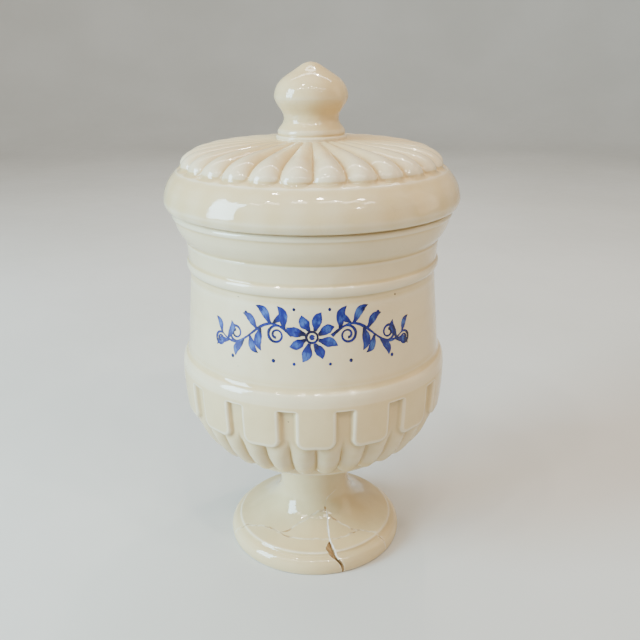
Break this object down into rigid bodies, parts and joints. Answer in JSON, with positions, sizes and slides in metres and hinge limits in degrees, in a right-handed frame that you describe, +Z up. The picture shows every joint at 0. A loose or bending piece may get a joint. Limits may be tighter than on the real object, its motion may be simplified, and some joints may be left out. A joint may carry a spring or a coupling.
{
  "type": "apothecary jar",
  "caption": "Footed apothecary jar with fluted and gadrooned relief and a domed lift-off lid with a pointed knob, in cream glazed earthenware.",
  "frame": {"origin": "middle of the foot's base, on the surface that the jar stands on", "axes": "+Z up along the jar's axis, -Y towards the front, +X to the right of a viewer who faces the front"},
  "size_m": [0.1539, 0.154, 0.27],
  "materials": {
    "cream_glaze": "glossy cream glaze over pale buff earthenware, warmer where it pools"
  },
  "bodies": {
    "jar": {"jar_bowl": "cream_glaze", "pedestal_foot": "cream_glaze", "foot_shard_outer_left": "cream_glaze", "foot_shard_outer_right": "cream_glaze", "foot_shard_inner_left": "cream_glaze", "foot_shard_inner_right": "cream_glaze"},
    "lid": {"lid_shell": "cream_glaze", "lid_knob": "cream_glaze"}
  },
  "joints": [
    {"name": "lid_lift", "type": "slide", "parent": "jar", "child": "lid", "axis": [0, 0, 1], "range_m": [0, 0.1]}
  ]
}
